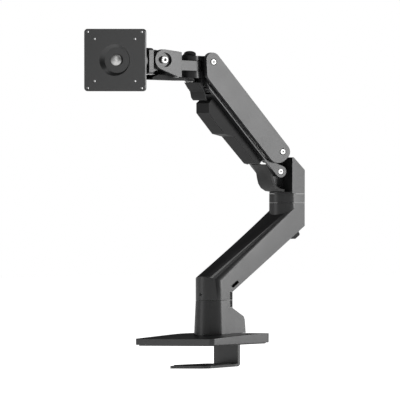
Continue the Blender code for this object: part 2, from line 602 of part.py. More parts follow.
# ---------------------------------------------------------------- elbow
def make_elbow():
    base = COLLAR_TOP + JOINT_LINE
    front = ELBOW_X + 8.6 * MM
    rear = ELBOW_X - BAR_REAR
    knuckle = outline("elbow_knuckle", rounded([(rear, base + MM, 0), (front, base + MM, 0),
                                                (front, 345 * MM, 2 * MM),
                                                (front - 3 * MM, 345 * MM, 2 * MM),
                                                (rear, 321.5 * MM, 3 * MM)]),
                      -BAR_HALF, BAR_HALF)
    join(knuckle, bar("knuckle_foot", [(z, ELBOW_X, 0.998, rear + 0.05 * MM, z, 0)
                                       for z in (base, base + 2.6 * MM)]))
    web = 3.5 * MM
    step = 6 * MM
    boss = 8.5 * MM
    link_boss = 9 * MM
    join(knuckle, outline("knuckle_web", [
        (front - 2 * MM, base + 1.4 * MM), (front + 4 * MM, base + 1.4 * MM),
        (front + 5 * MM, 290 * MM),
        (LINK_PIN.x - MM, 294 * MM), (LINK_PIN.x + 6 * MM, 303 * MM),
        (LINK_PIN.x + 8 * MM, LINK_PIN.z), (LINK_PIN.x + 5 * MM, LINK_PIN.z + step),
        (THRUST_BOSS.x - 1 * MM, THRUST_BOSS.z - 2 * MM),
        (THRUST_BOSS.x, THRUST_BOSS.z + 2 * MM), (MAIN_PIN.x + step, MAIN_PIN.z),
        (MAIN_PIN.x, MAIN_PIN.z + step), (front - 2 * MM, 338 * MM)], -web, web))
    join(knuckle, rod("knuckle_boss", MAIN_PIN + Vector((0, -17 * MM, 0)),
                      MAIN_PIN + Vector((0, 17 * MM, 0)), boss, ROUND))
    join(knuckle, rod("knuckle_link_boss", LINK_PIN + Vector((0, -13.9 * MM, 0)),
                      LINK_PIN + Vector((0, 13.9 * MM, 0)), link_boss, 40))
    join(knuckle, rod("knuckle_thrust_boss", THRUST_BOSS + Vector((0, -8 * MM, 0)),
                      THRUST_BOSS + Vector((0, 8 * MM, 0)), 5.5 * MM))
    cut(knuckle, rod("knuckle_bore", MAIN_PIN + Vector((0, -30 * MM, 0)),
                     MAIN_PIN + Vector((0, 30 * MM, 0)), 6.6 * MM))
    cut(knuckle, rod("knuckle_link_bore", LINK_PIN + Vector((0, -30 * MM, 0)),
                     LINK_PIN + Vector((0, 30 * MM, 0)), 3.5 * MM + GAP))
    upper = ELBOW_POST_RADIUS - MM
    post_top = 318 * MM
    cut(knuckle, rod("knuckle_post_bore", (ELBOW_X, 0, base - 5 * MM),
                     (ELBOW_X, 0, post_top + GAP), upper + GAP, ROUND))
    cut(knuckle, rod("knuckle_post_seat", (ELBOW_X, 0, base - 5 * MM),
                     (ELBOW_X, 0, base + GAP + MM), ELBOW_POST_RADIUS + GAP, ROUND))
    cut(knuckle, rod("knuckle_washer_seat", (ELBOW_X, 0, base - MM),
                     (ELBOW_X, 0, base + 1.15 * MM), 15.5 * MM, ROUND))
    turned("elbow_post", [(0, post_top), (upper, post_top), (upper, base + MM),
                          (ELBOW_POST_RADIUS, base + MM), (ELBOW_POST_RADIUS, 228 * MM),
                          (0, 228 * MM)], (ELBOW_X, 0, 0), (0, 0, 1), ROUND)
    ring("elbow_thrust_washer", ELBOW_POST_RADIUS + GAP, 15.2 * MM,
         (ELBOW_X, 0, COLLAR_TOP - 0.7 * MM), (ELBOW_X, 0, base + 0.7 * MM))

    for label, side in (("left", 1), ("right", -1)):
        ring(f"pivot_bush_{label}", PIN_RADIUS + GAP, 6.3 * MM,
             MAIN_PIN + Vector((0, side * 9 * MM, 0)), MAIN_PIN + Vector((0, side * 17 * MM, 0)))

    wall = 1.8 * MM
    half = 13.9 * MM
    curve = [(-134 * MM, 280.0 * MM), (-123.5 * MM, 281.4 * MM), (-114 * MM, 287.0 * MM),
             (-108.5 * MM, 295.5 * MM), (-106 * MM, 305 * MM), (-104.5 * MM, 314 * MM),
             (-100.5 * MM, 323.5 * MM), (-95 * MM, 330.5 * MM)]
    boot = outline("elbow_cable_boot", curve + offset(curve, 5 * MM)[::-1], -half, half)
    inside = offset(curve, wall)
    inside[0] = (inside[0][0] - 5 * MM, inside[0][1])
    beyond = offset(curve, 9 * MM)
    beyond[0] = (beyond[0][0] - 5 * MM, beyond[0][1])
    ahead = Vector((inside[-1][0] - inside[-2][0], inside[-1][1] - inside[-2][1])).normalized()
    inside.append((inside[-1][0] + ahead.x * 5 * MM, inside[-1][1] + ahead.y * 5 * MM))
    beyond.append((beyond[-1][0] + ahead.x * 5 * MM, beyond[-1][1] + ahead.y * 5 * MM))
    cut(boot, outline("boot_inside", inside + beyond[::-1], -half + wall, half - wall))


# ---------------------------------------------------------------- upper arm
def arm_side():
    """Outline of the upper arm's side, along and above its pin line."""
    elbow_low = arc((6.5 * MM, -6.5 * MM), 21.7 * MM, 268, 172, 10)
    elbow_top = arc((0, 0), 15.2 * MM, 176, 92, 8)
    head = arc((LINK_LENGTH + 3.2 * MM, 1.6 * MM), 13.6 * MM, 90, -40, 12)
    chin = [(LINK_LENGTH - 7.7 * MM, -24.1 * MM), (LINK_LENGTH - 13 * MM, -27.2 * MM),
            (LINK_LENGTH - 19.5 * MM, -PLATE_BELOW)]
    return elbow_low + elbow_top + head + chin


def make_pin(name, centre, half, radius, head_radius, head):
    """A pivot pin across the arm with a low head at each end."""
    mid = half - head
    pin = turned(name, [(0, half), (head_radius, half), (head_radius, mid), (radius, mid),
                        (radius, -mid), (head_radius, -mid), (head_radius, -half), (0, -half)],
                 centre, (0, 1, 0))
    for side in (-1, 1):
        cut(pin, hexagon_socket(f"{name}_socket_{side}", centre + Vector((0, side * half, 0)),
                                (0, side, 0), 1.9 * MM, 1.6 * MM))
    return pin


def make_upper_arm():
    side = arm_points(arm_side())
    channel = outline("upper_arm_channel", side, -CHANNEL_HALF, CHANNEL_HALF)
    inner = CHANNEL_HALF - CHANNEL_WALL
    roof = PLATE_ABOVE - 4.4 * MM
    cut(channel, outline("channel_inside", arm_points([
        (-40 * MM, -60 * MM), (LINK_LENGTH + 60 * MM, -60 * MM),
        (LINK_LENGTH + 60 * MM, 60 * MM), (LINK_LENGTH - 8 * MM, 60 * MM),
        (LINK_LENGTH - 8 * MM, roof), (10 * MM, roof), (10 * MM, 60 * MM),
        (-40 * MM, 60 * MM)]), -inner, inner))
    cover_low = CHANNEL_HALF + GAP
    cover_high = cover_low + COVER_THICK
    pin_half = cover_high + 0.4 * MM
    pins = (("arm_pivot_pin", MAIN_PIN), ("head_pivot_pin", HEAD_PIN))
    for name, centre in pins:
        make_pin(name, centre, pin_half, PIN_RADIUS, PIN_HEAD, pin_half - CHANNEL_HALF - 0.2 * MM)
        cut(channel, rod(f"channel_hole_{name}", centre + Vector((0, -30 * MM, 0)),
                         centre + Vector((0, 30 * MM, 0)), PIN_RADIUS + GAP))
    for label, sign in (("left", 1), ("right", -1)):
        low, high = sorted((sign * cover_low, sign * cover_high))
        cover = outline(f"side_cover_{label}", side, low, high)
        for name, centre in pins:
            cut(cover, rod(f"cover_{label}_{name}", centre + Vector((0, -30 * MM, 0)),
                           centre + Vector((0, 30 * MM, 0)), PIN_HEAD + 1.3 * MM))

    length = SPRING_END - SPRING_START
    bore = SPRING_RADIUS - 1.5 * MM
    neck = 3.5 * MM + GAP
    profile = [(0, length), (SPRING_RADIUS, length), (SPRING_RADIUS, 0), (neck, 0),
               (neck, 4 * MM), (bore, 4 * MM), (bore, length - 4 * MM), (0, length - 4 * MM)]
    turned("spring_cylinder", profile, arm_point(SPRING_START, SPRING_LINE), ALONG, ROUND)
    foot = (THRUST_BOSS - MAIN_PIN).dot(ALONG) + 5.5 * MM + 0.5 * MM
    rod_radius = 3.5 * MM
    piston = bore - GAP
    piston_at = SPRING_START + 68 * MM
    profile = [(0, piston_at + 6 * MM), (piston, piston_at + 6 * MM), (piston, piston_at),
               (rod_radius, piston_at), (rod_radius, foot + 4 * MM), (4.5 * MM, foot + 4 * MM),
               (4.5 * MM, foot), (0, foot)]
    turned("spring_rod", profile, arm_point(0, SPRING_LINE), ALONG)

    carrier_end = SPRING_END + 4.5 * MM
    box_low, box_high = SPRING_LINE - 5 * MM, SPRING_LINE + 6.5 * MM
    carrier = outline("spring_carrier", arm_points([
        (SPRING_END + GAP, box_low), (carrier_end, box_low), (carrier_end, box_high),
        (SPRING_END + GAP, box_high)]), -inner + GAP, inner - GAP)
    bar_start, bar_end = carrier_end + 1.5 * MM, carrier_end + 5.5 * MM
    stop = outline("spring_stop_bar", arm_points([
        (bar_start, box_low), (bar_end, box_low), (bar_end, box_high),
        (bar_start, box_high)]), -inner + GAP, inner - GAP)
    screw_radius = 2.5 * MM
    cut(carrier, rod("carrier_hole", arm_point(SPRING_END - MM, SPRING_LINE),
                     arm_point(carrier_end + MM, SPRING_LINE), screw_radius + GAP))
    cut(stop, rod("stop_hole", arm_point(bar_start - MM, SPRING_LINE),
                  arm_point(bar_end + MM, SPRING_LINE), screw_radius + GAP))
    head = bar_end + GAP
    screw = turned("spring_adjust_screw", [
        (0, head + 3.5 * MM), (4.5 * MM, head + 3.5 * MM), (4.5 * MM, head),
        (screw_radius, head), (screw_radius, SPRING_END + 0.6 * MM),
        (0, SPRING_END + 0.6 * MM)], arm_point(0, SPRING_LINE), ALONG)
    cut(screw, hexagon_socket("adjust_socket", arm_point(head + 3.5 * MM, SPRING_LINE),
                              ALONG, 2.3 * MM, 2.5 * MM))


# ---------------------------------------------------------------- parallel link
def link_points(points):
    return arm_points(points, LINK_PIN)


def make_link():
    low = -LINK_BELOW
    strip = low + LINK_STRIP
    side = (arc((0, 0), 11 * MM, 62, 270, 18) +
            [(LINK_LENGTH - 6 * MM, low)] +
            arc((LINK_LENGTH, 0), 9.5 * MM, -70, 118, 16) +
            [(LINK_LENGTH - 26 * MM, strip), (36 * MM, strip)])
    inner = LINK_HALF - LINK_EAR
    link = outline("lower_link", link_points(side), -LINK_HALF, LINK_HALF)
    web_end = LINK_LENGTH - 19.5 * MM
    cut(link, outline("link_inside", link_points([
        (-30 * MM, -30 * MM), (34 * MM, -30 * MM), (34 * MM, strip), (web_end, strip),
        (web_end, -30 * MM), (LINK_LENGTH + 30 * MM, -30 * MM),
        (LINK_LENGTH + 30 * MM, 30 * MM), (-30 * MM, 30 * MM)]), -inner, inner))
    for name, centre in (("link_elbow_pin", LINK_PIN), ("link_head_pin", LINK_HEAD_PIN)):
        make_pin(name, centre, LINK_HALF, 3.5 * MM, 5 * MM, 1.8 * MM)
        cut(link, rod(f"link_hole_{name}", centre + Vector((0, -30 * MM, 0)),
                      centre + Vector((0, 30 * MM, 0)), 3.5 * MM + GAP))
        for sign in (-1, 1):
            cut(link, rod(f"link_seat_{name}_{sign}",
                          centre + Vector((0, sign * (LINK_HALF - 2.1 * MM), 0)),
                          centre + Vector((0, sign * 30 * MM, 0)), 5.8 * MM))

    top = low - GAP
    cover = outline("cable_cover", link_points([
        (36 * MM, top), (34 * MM, -19.6 * MM), (40 * MM, -23.8 * MM), (107 * MM, -25.4 * MM),
        (123 * MM, -37 * MM), (172.3 * MM, -36.1 * MM), (185.8 * MM, -24.4 * MM),
        (187 * MM, top)]), -CABLE_HALF, CABLE_HALF)
    wall = 1.8 * MM
    hollow = CABLE_HALF - wall
    cut(cover, outline("cover_inside", link_points([
        (30 * MM, top + 5 * MM), (30 * MM, -21.5 * MM), (108 * MM, -23.4 * MM),
        (124 * MM, -35 * MM), (171.5 * MM, -34.2 * MM), (183.6 * MM, -23.6 * MM),
        (184.5 * MM, top + 5 * MM)]), -hollow, hollow))
    for label, sign in (("left", 1), ("right", -1)):
        low_y, high_y = sorted((sign * 9 * MM, sign * 30 * MM))
        cut(cover, outline(f"cover_waist_{label}", link_points([
            (25 * MM, top + 5 * MM), (25 * MM, -19.1 * MM), (195 * MM, -19.1 * MM),
            (195 * MM, top + 5 * MM)]), low_y + sign * 2.4 * MM * (sign > 0),
            high_y + sign * 2.4 * MM * (sign < 0)))


# ---------------------------------------------------------------- head
def make_tip():
    side = LINK_HALF - LINK_EAR - 0.4 * MM
    rear = 12.5 * MM
    body_front = 31.0 * MM
    low = 472 * MM
    knuckle = outline("tip_knuckle", rounded([
        (rear, low, 3 * MM), (body_front, low, 2 * MM), (body_front, LOBE_TOP, 0),
        (rear + 3 * MM, LOBE_TOP, 3 * MM), (rear, 500 * MM, 6 * MM)]), -side, side)
    for name, z_low, z_high in (("tip_lobe_upper", BLOCK_TOP, LOBE_TOP),
                                ("tip_lobe_lower", LOBE_BOTTOM, BLOCK_BOTTOM)):
        join(knuckle, box(name + "_neck", (body_front - 8 * MM, -side, z_low),
                          (SWIVEL_X, side, z_high)))
        join(knuckle, rod(name, (SWIVEL_X, 0, z_low), (SWIVEL_X, 0, z_high), LOBE_RADIUS, ROUND))
    join(knuckle, rod("tip_head_boss", HEAD_PIN + Vector((0, -18.6 * MM, 0)),
                      HEAD_PIN + Vector((0, 18.6 * MM, 0)), 9.5 * MM, ROUND))
    slack = 0.7 * MM
    cut(knuckle, rod("tip_block_gap", (SWIVEL_X, 0, BLOCK_BOTTOM - slack),
                     (SWIVEL_X, 0, BLOCK_TOP + slack), BLOCK_HALF + slack, ROUND))
    cut(knuckle, box("tip_block_front", (SWIVEL_X, -30 * MM, BLOCK_BOTTOM - slack),
                     (SWIVEL_X + 30 * MM, 30 * MM, BLOCK_TOP + slack)))
    across = Vector((0, 30 * MM, 0))
    cut(knuckle, rod("tip_head_bore", HEAD_PIN - across, HEAD_PIN + across, PIN_RADIUS + GAP))
    cut(knuckle, rod("tip_link_bore", LINK_HEAD_PIN - across, LINK_HEAD_PIN + across,
                     3.5 * MM + 2 * GAP))
    bolt_radius = 5 * MM
    cut(knuckle, rod("tip_bolt_bore", (SWIVEL_X, 0, LOBE_BOTTOM - 5 * MM),
                     (SWIVEL_X, 0, LOBE_TOP + 5 * MM), bolt_radius + GAP))
    recess = 0.6 * MM
    washer_top = BLOCK_TOP + slack + recess
    cut(knuckle, rod("tip_washer_seat", (SWIVEL_X, 0, BLOCK_TOP), (SWIVEL_X, 0, washer_top),
                     10.6 * MM, ROUND))
    ring("tip_swivel_washer", bolt_radius + GAP, 10.3 * MM, (SWIVEL_X, 0, BLOCK_TOP + GAP),
         (SWIVEL_X, 0, washer_top - GAP))
    head = LOBE_TOP + GAP
    nut_top = LOBE_BOTTOM - GAP
    nut_low = nut_top - 6 * MM
    turned("tip_swivel_bolt", [(0, head + 3 * MM), (7 * MM, head + 3 * MM), (7 * MM, head),
                               (bolt_radius, head), (bolt_radius, nut_low - MM),
                               (0, nut_low - MM)], (SWIVEL_X, 0, 0), (0, 0, 1))
    nut = rod("tip_swivel_nut", (SWIVEL_X, 0, nut_low), (SWIVEL_X, 0, nut_top), 8 * MM, 6)
    cut(nut, rod("tip_nut_bore", (SWIVEL_X, 0, nut_low - MM), (SWIVEL_X, 0, nut_top + MM),
                 bolt_radius + 0.1 * MM))
    cap = 8.2 * MM
    rise = 8.5 * MM
    dome = [(cap * cos(a), head + 3.5 * MM + (rise - 3.5 * MM) * sin(a))
            for a in (radians(90 - 15 * i) for i in range(7))]
    dome[0] = (0, dome[0][1])
    turned("tip_swivel_cap", dome + [(cap, head), (7.3 * MM, head), (7.3 * MM, head + 3.4 * MM),
                                     (0, head + 3.4 * MM)], (SWIVEL_X, 0, 0), (0, 0, 1), ROUND)
    back = body_front + GAP
    outline("tip_cable_guide", [
        (back, LOBE_BOTTOM - GAP), (35.5 * MM, LOBE_BOTTOM - GAP), (35.5 * MM, 479.5 * MM),
        (42 * MM, 479.5 * MM), (34.8 * MM, 468 * MM), (33 * MM, 467 * MM),
        (32.2 * MM, 464.5 * MM), (30.8 * MM, 463.5 * MM), (28.4 * MM, 452 * MM),
        (24.6 * MM, 447.2 * MM), (23.6 * MM, 447.2 * MM), (26 * MM, 458 * MM),
        (back, 471 * MM)], -13 * MM, 13 * MM)


def make_tilt():
    tilt = Vector((TILT_X, 0, TILT_Z))
    across = Vector((0, 40 * MM, 0))
    wall_front = BRACKET_REAR + 6 * MM
    wall_low, wall_high = 488 * MM, 533 * MM
    plan = ([(BRACKET_REAR + 3 * MM, -BLOCK_HALF), (BRACKET_REAR + 3 * MM, BLOCK_HALF)] +
            arc((SWIVEL_X, 0), BLOCK_HALF, 90, 270, 24))
    bracket = outline("tilt_bracket", plan, BLOCK_BOTTOM, BLOCK_TOP, "XY")
    cheeks = outline("bracket_cheeks", [(BRACKET_REAR, wall_low), (wall_front, wall_low)] +
                     arc((TILT_X, TILT_Z), CHEEK_RADIUS, -72, 97, 28) +
                     [(wall_front, wall_high + MM), (BRACKET_REAR, wall_high)],
                     -CHEEK_HALF, CHEEK_HALF)
    inner = CHEEK_HALF - CHEEK_WALL
    cut(cheeks, box("cheek_gap", (wall_front, -inner, wall_low - 20 * MM),
                    (wall_front + 80 * MM, inner, wall_high + 20 * MM)))
    join(bracket, cheeks)
    bolt_radius = 4 * MM
    seat = CHEEK_HALF - 3 * MM
    cut(bracket, rod("bracket_bolt_hole", tilt - across, tilt + across, bolt_radius + GAP))
    for side in (-1, 1):
        cut(bracket, rod(f"bracket_counterbore_{side}", tilt + Vector((0, side * seat, 0)),
                         tilt + side * across, 13 * MM, ROUND))
    cut(bracket, rod("bracket_swivel_bore", (SWIVEL_X, 0, BLOCK_BOTTOM - 5 * MM),
                     (SWIVEL_X, 0, BLOCK_TOP + 5 * MM), 5 * MM + GAP))
    head = seat + GAP
    nut_face = -seat - GAP
    bolt = turned("tilt_bolt", [
        (0, head + 3.4 * MM), (5.6 * MM, head + 3.4 * MM), (6.6 * MM, head + 2.4 * MM),
        (6.6 * MM, head), (bolt_radius, head), (bolt_radius, nut_face - 4 * MM),
        (0, nut_face - 4 * MM)], tilt, (0, 1, 0), 32)
    cut(bolt, hexagon_socket("tilt_bolt_socket", tilt + Vector((0, head + 3.4 * MM, 0)),
                             (0, 1, 0), 2.9 * MM, 2.4 * MM))
    nut = rod("tilt_nut", tilt + Vector((0, nut_face - 3.6 * MM, 0)),
              tilt + Vector((0, nut_face, 0)), 7.5 * MM, 6)
    cut(nut, rod("tilt_nut_bore", tilt - across, tilt + across, bolt_radius + 0.1 * MM))

    strip_low = 481.8 * MM
    strip_rear, strip_front = 66 * MM, 128 * MM
    strip_top = wall_low - GAP
    guide = outline("head_cable_guide", [
        (strip_rear, strip_low), (strip_front, strip_low), (strip_front, strip_low + 4.5 * MM),
        (strip_front - 12 * MM, strip_low + 9.7 * MM), (wall_front + GAP, strip_low + 9.7 * MM),
        (wall_front + GAP, strip_top), (strip_rear, strip_top)], -10.5 * MM, 10.5 * MM)
    cut(guide, box("guide_trough_rear", (strip_rear - MM, -8.5 * MM, strip_low + 2.2 * MM),
                   (BRACKET_REAR - MM, 8.5 * MM, wall_low + MM)))
    cut(guide, box("guide_trough_front", (wall_front + MM, -8.5 * MM, strip_low + 2.2 * MM),
                   (strip_front + MM, 8.5 * MM, wall_low + 20 * MM)))

    barrel = 16.5 * MM
    half = inner - GAP
    hub = rod("tilt_hub", tilt - Vector((0, half, 0)), tilt + Vector((0, half, 0)), barrel, ROUND)
    flange_rear = FLANGE_FRONT - FLANGE_THICK
    ends = [VESA_Z - FLANGE_HALF, VESA_Z + FLANGE_HALF]
    join(hub, outline("hub_flange", rounded([
        (-FLANGE_HALF, ends[0], 5 * MM), (FLANGE_HALF, ends[0], 5 * MM),
        (FLANGE_HALF, ends[1], 5 * MM), (-FLANGE_HALF, ends[1], 5 * MM)]),
        flange_rear, FLANGE_FRONT, "YZ"))
    for label, side in (("left", 1), ("right", -1)):
        low, high = sorted((side * 8 * MM, side * (half - 0.05 * MM)))
        join(hub, outline(f"hub_rib_{label}", [
            (TILT_X, TILT_Z - barrel + 0.4 * MM), (flange_rear + 2 * MM, ends[0] + MM),
            (flange_rear + 2 * MM, ends[1] - MM), (TILT_X, TILT_Z + barrel - 0.4 * MM)],
            low, high))
        recess = half - 1.1 * MM
        cut(hub, rod(f"hub_washer_seat_{label}", tilt + Vector((0, side * recess, 0)),
                     tilt + side * across, 10.6 * MM, ROUND))
        start, end = side * (recess + GAP), side * half
        ring(f"tilt_washer_{label}", bolt_radius + GAP, 10.3 * MM,
             tilt + Vector((0, min(start, end), 0)), tilt + Vector((0, max(start, end), 0)))
    cut(hub, rod("hub_bolt_bore", tilt - across, tilt + across, bolt_radius + GAP))

    screw_radius = 4 * MM
    centre = Vector((0, 0, VESA_Z))
    forward = Vector((1, 0, 0))
    cut(hub, rod("hub_screw_hole", centre + forward * (flange_rear - 5 * MM),
                 centre + forward * (FLANGE_FRONT + 5 * MM), screw_radius + GAP))
    nut_front = flange_rear - GAP
    nut_rear = nut_front - 5 * MM
    nut = rod("vesa_nut", centre + forward * nut_rear, centre + forward * nut_front, 7 * MM, 6)
    cut(nut, rod("vesa_nut_bore", centre + forward * (nut_rear - MM),
                 centre + forward * (nut_front + MM), screw_radius + 0.1 * MM))
    floor = VESA_FACE - DISH_DEPTH
    floor_rear = floor - VESA_SHEET
    ring("vesa_friction_washer", screw_radius + GAP, 19 * MM,
         centre + forward * (FLANGE_FRONT + GAP), centre + forward * (HUB_REAR - GAP))
    hub_front = floor_rear - GAP
    ring("vesa_hub", screw_radius + GAP, HUB_RADIUS, centre + forward * HUB_REAR,
         centre + forward * hub_front, ROUND)
    edge = 4.5 * MM
    head = 10 * MM
    domed = [(head * sin(a), floor + 1.5 * MM + (edge - 1.5 * MM) * cos(a))
             for a in (radians(15 * i) for i in range(7))]
    domed += [(head, floor + GAP), (screw_radius, floor + GAP),
             (screw_radius, nut_rear + 0.5 * MM), (0, nut_rear + 0.5 * MM)]
    turned("vesa_screw", domed, centre, forward, 32)

    half_width, half_height = VESA_WIDTH / 2, VESA_HEIGHT / 2
    sheet_rear = VESA_FACE - VESA_SHEET
    plate = outline("vesa_plate", rounded([
        (-half_width, VESA_Z - half_height, VESA_CORNER),
        (half_width, VESA_Z - half_height, VESA_CORNER),
        (half_width, VESA_Z + half_height, VESA_CORNER),
        (-half_width, VESA_Z + half_height, VESA_CORNER)]), sheet_rear, VESA_FACE, "YZ")
    join(plate, turned("vesa_dish_back", [
        (0, sheet_rear + MM), (DISH_RADIUS + 2 * MM, sheet_rear + MM),
        (DISH_RADIUS + 1.4 * MM, sheet_rear - MM), (DISH_FLOOR + 1.5 * MM, floor_rear),
        (0, floor_rear)], centre, forward, ROUND))
    cut(plate, turned("vesa_dish", [
        (0, VESA_FACE + MM), (DISH_RADIUS + MM, VESA_FACE + MM),
        (DISH_FLOOR, floor), (0, floor)], centre, forward, ROUND))
    cut(plate, rod("vesa_screw_hole", centre + forward * (floor_rear - 5 * MM),
                   centre + forward * (VESA_FACE + 5 * MM), screw_radius + GAP, FINE, TWIST))
    for pitch in (100 * MM, 75 * MM):
        for y in (-pitch / 2, pitch / 2):
            for z in (-pitch / 2, pitch / 2):
                spot = centre + Vector((0, y, z))
                cut(plate, rod(f"vesa_hole_{pitch:.3f}_{y:.3f}_{z:.3f}",
                               spot + forward * (sheet_rear - 5 * MM),
                               spot + forward * (VESA_FACE + 5 * MM), VESA_HOLE, 16))


FINISH_OF = {
    "black_plastic": ("column_rear_cover", "arm_rear_cover", "lower_cable_cover",
                      "lower_cable_clip", "cable_cover", "tip_swivel_cap", "tip_cable_guide", "head_cable_guide"),
    "bright_steel": ("arm_pivot_pin", "head_pivot_pin", "link_elbow_pin", "link_head_pin",
                     "tilt_bolt", "tilt_nut", "vesa_screw", "spring_rod", "swivel_post",
                     "elbow_post", "tip_swivel_bolt"),
    "dark_steel": ("column_screw_left", "column_screw_right", "clamp_screw", "lift_nut",
                   "screw_retaining_ring", "swivel_set_screw", "spring_cylinder",
                   "spring_carrier", "spring_stop_bar", "spring_adjust_screw",
                   "tip_swivel_nut", "vesa_nut"),
    "rubber": ("desk_pad", "jaw_pad", "elbow_cable_boot"),
    "nylon": ("swivel_bush", "swivel_thrust_washer", "elbow_bush", "elbow_thrust_washer",
              "pivot_bush_left", "pivot_bush_right", "tip_swivel_washer", "tilt_washer_left",
              "tilt_washer_right", "vesa_friction_washer"),
}


def finish_parts():
    """Gives each piece a material of its own, the coated metal where no other is named."""
    chosen = {piece: name for name, pieces in FINISH_OF.items() for piece in pieces}
    for piece in parts.objects:
        piece.data.materials.clear()
        piece.data.materials.append(finish(chosen.get(piece.name, "black_coat")))


def build():
    make_base()
    make_clamp()
    make_lower_arm()
    make_elbow()
    make_upper_arm()
    make_link()
    make_tip()
    make_tilt()
    finish_parts()


build()
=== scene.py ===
"""Finishes for the desk-clamp monitor arm: eased edges, powder coat, plastics and bright pins."""
import json
from math import cos, radians, sin

import bmesh
import bpy
import numpy as np
from mathutils import Matrix, Vector


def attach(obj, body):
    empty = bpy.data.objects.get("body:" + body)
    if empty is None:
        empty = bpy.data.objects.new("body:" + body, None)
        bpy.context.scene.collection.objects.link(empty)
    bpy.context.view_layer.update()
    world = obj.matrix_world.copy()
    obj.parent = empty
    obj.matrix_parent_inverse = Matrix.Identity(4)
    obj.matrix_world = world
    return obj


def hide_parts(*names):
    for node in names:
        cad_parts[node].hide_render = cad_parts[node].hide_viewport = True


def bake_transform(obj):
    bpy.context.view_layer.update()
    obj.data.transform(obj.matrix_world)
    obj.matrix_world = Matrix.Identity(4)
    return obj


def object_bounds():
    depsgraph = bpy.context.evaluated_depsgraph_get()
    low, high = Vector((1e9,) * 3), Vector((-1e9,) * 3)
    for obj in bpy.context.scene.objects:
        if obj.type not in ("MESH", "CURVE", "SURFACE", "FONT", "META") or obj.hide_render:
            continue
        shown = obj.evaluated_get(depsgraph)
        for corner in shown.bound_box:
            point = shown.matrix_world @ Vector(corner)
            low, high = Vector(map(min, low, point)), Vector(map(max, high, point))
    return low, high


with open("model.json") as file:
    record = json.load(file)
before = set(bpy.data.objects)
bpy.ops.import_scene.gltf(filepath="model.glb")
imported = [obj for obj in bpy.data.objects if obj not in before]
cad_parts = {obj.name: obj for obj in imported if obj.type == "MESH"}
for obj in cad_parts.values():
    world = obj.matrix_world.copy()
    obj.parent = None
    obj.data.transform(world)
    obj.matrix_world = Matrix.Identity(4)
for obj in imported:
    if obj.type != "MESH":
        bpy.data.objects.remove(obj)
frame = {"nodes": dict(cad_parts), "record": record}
cad_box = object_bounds()

MM = 0.001
FLEXIBLE = "elbow_cable_boot"      # the one flexible node; no body carries it
body_of_node = {node: body for body, nodes in frame["record"]["behaviour"]["bodies"].items()
                for node in nodes}
slot_of_node = {part["node"]: part["material_slot"] for part in frame["record"]["subparts"]}


# ---------------------------------------------------------------- shader expressions
class Socket:
    """An output socket that turns arithmetic into Math nodes."""

    def __init__(self, shader, socket):
        self.shader = shader
        self.socket = socket

    def _maths(self, operation, first, second):
        return self.shader.node("ShaderNodeMath", {"operation": operation}, {0: first, 1: second})

    def __add__(self, other):
        return self._maths("ADD", self, other)

    __radd__ = __add__

    def __mul__(self, other):
        return self._maths("MULTIPLY", self, other)

    __rmul__ = __mul__


class Shader:
    """A material's node tree with one Principled shader."""

    def __init__(self, name, roughness, metallic=0.0, **settings):
        self.material = bpy.data.materials.new(name)
        self.material.use_nodes = True
        self.tree = self.material.node_tree
        self.surface = self.tree.nodes["Principled BSDF"]
        self.surface.inputs["Roughness"].default_value = roughness
        self.surface.inputs["Metallic"].default_value = metallic
        for key, value in settings.items():
            self.surface.inputs[key.replace("_", " ")].default_value = value
        self.place = self.node("ShaderNodeTexCoord", {}, {}, "Object")

    def node(self, kind, settings, inputs, output=0):
        made = self.tree.nodes.new(kind)
        for key, value in settings.items():
            setattr(made, key, value)
        for key, value in inputs.items():
            if isinstance(value, Socket):
                self.tree.links.new(value.socket, made.inputs[key])
            else:
                made.inputs[key].default_value = value
        return Socket(self, made.outputs[output])

    def noise(self, scale, detail=2.0, roughness=0.5, stretch=None):
        place = self.place
        if stretch:
            place = self.node("ShaderNodeMapping", {}, {"Vector": place, "Scale": stretch})
        return self.node("ShaderNodeTexNoise", {}, {
            "Vector": place, "Scale": scale, "Detail": detail, "Roughness": roughness})

    def blend(self, factor, first, second):
        return self.node("ShaderNodeMix", {"data_type": "RGBA"},
                         {0: factor, 6: (*first, 1.0), 7: (*second, 1.0)}, 2)

    def spread(self, value, low, high):
        return self.node("ShaderNodeMapRange", {}, {
            "Value": value, "From Min": low, "From Max": high})

    def drive(self, key, value):
        self.tree.links.new(value.socket, self.surface.inputs[key])

    def bump(self, height, strength, distance):
        bump = self.node("ShaderNodeBump", {}, {
            "Height": height, "Strength": strength, "Distance": distance})
        self.drive("Normal", bump)


def powder_coat(name, dark, light, roughness):
    """Satin black powder coat: a fine pebble, faint clouding, and dust in the cloud's hollows."""
    shader = Shader(name, roughness)
    cloud = shader.spread(shader.noise(14.0, 4.0, 0.6), 0.35, 0.68)
    grain = shader.noise(1900.0, 2.0, 0.55)
    peel = shader.noise(520.0, 1.0, 0.5)
    shader.drive("Base Color", shader.blend(cloud * 0.6 + shader.spread(grain, 0.4, 0.7) * 0.4,
                                            dark, light))
    shader.drive("Roughness", roughness + cloud * 0.05 + shader.spread(grain, 0.3, 0.7) * 0.05)
    shader.bump(grain * 0.55 + peel * 0.45, 0.16, 0.00012)
    return shader.material


def moulded_plastic(name, dark, light, roughness):
    """Black plastic with a spark-eroded texture."""
    shader = Shader(name, roughness, Specular_IOR_Level=0.2)
    texture = shader.noise(2600.0, 3.0, 0.65)
    cloud = shader.noise(20.0, 3.0, 0.5)
    shader.drive("Base Color", shader.blend(shader.spread(cloud, 0.35, 0.7), dark, light))
    shader.drive("Roughness", roughness + shader.spread(texture, 0.35, 0.65) * 0.08)
    shader.bump(texture, 0.22, 0.0001)
    return shader.material


